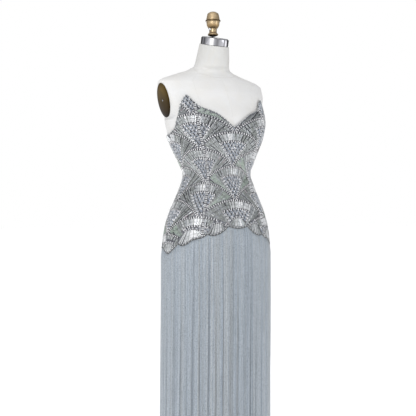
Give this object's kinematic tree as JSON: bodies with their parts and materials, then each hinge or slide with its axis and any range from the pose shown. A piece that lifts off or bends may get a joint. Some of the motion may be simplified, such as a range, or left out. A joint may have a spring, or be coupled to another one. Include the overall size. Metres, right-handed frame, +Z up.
{
  "type": "evening gown on a dress form",
  "caption": "Strapless evening gown with a beaded bodice and floor-length bead fringe, on a limbless dress form with a neck finial and a round stand.",
  "frame": {"origin": "on the floor, at the middle of the stand's round base, which is the pole's axis", "axes": "+Z up, the gown's front faces -Y, the wearer's left is +X"},
  "size_m": [0.4, 0.4, 1.611],
  "materials": {
    "canvas": "matt linen canvas",
    "beaded_bodice": "silver bead and bugle embroidery",
    "lining": "satin weave",
    "fringe": "silver-lined glass beads on thread",
    "zip_tape": "woven tape",
    "zip_metal": "bright",
    "chrome": "polished",
    "brass": "satin",
    "bronze": "satin bronze",
    "dark_steel": "satin black"
  },
  "bodies": {
    "gown_and_form": {"form_torso": "canvas", "neck_ring": "chrome", "neck_cap": "dark_steel", "finial_rod": "dark_steel", "neck_finial": "brass", "finial_screw": "chrome", "arm_plate_right": "bronze", "arm_plate_left": "bronze", "stand_collar": "dark_steel", "stand_pole": "dark_steel", "stand_base": "dark_steel", "bodice_front_centre": "beaded_bodice", "bodice_front_left": "beaded_bodice", "bodice_front_right": "beaded_bodice", "bodice_back_left": "beaded_bodice", "bodice_back_right": "beaded_bodice", "zip_chain": "zip_tape", "zip_slider": "zip_metal", "underskirt_front": "lining", "underskirt_back": "lining", "fringe_front": "fringe", "fringe_back": "fringe"},
    "pull_tab": {"zip_pull": "zip_metal"}
  },
  "joints": [
    {"name": "pull_tab_hinge", "type": "hinge", "parent": "gown_and_form", "child": "pull_tab", "pos_m": [0, 0.10576, 1.18409], "axis": [1, 0, 0], "range_deg": [0, 150]}
  ]
}
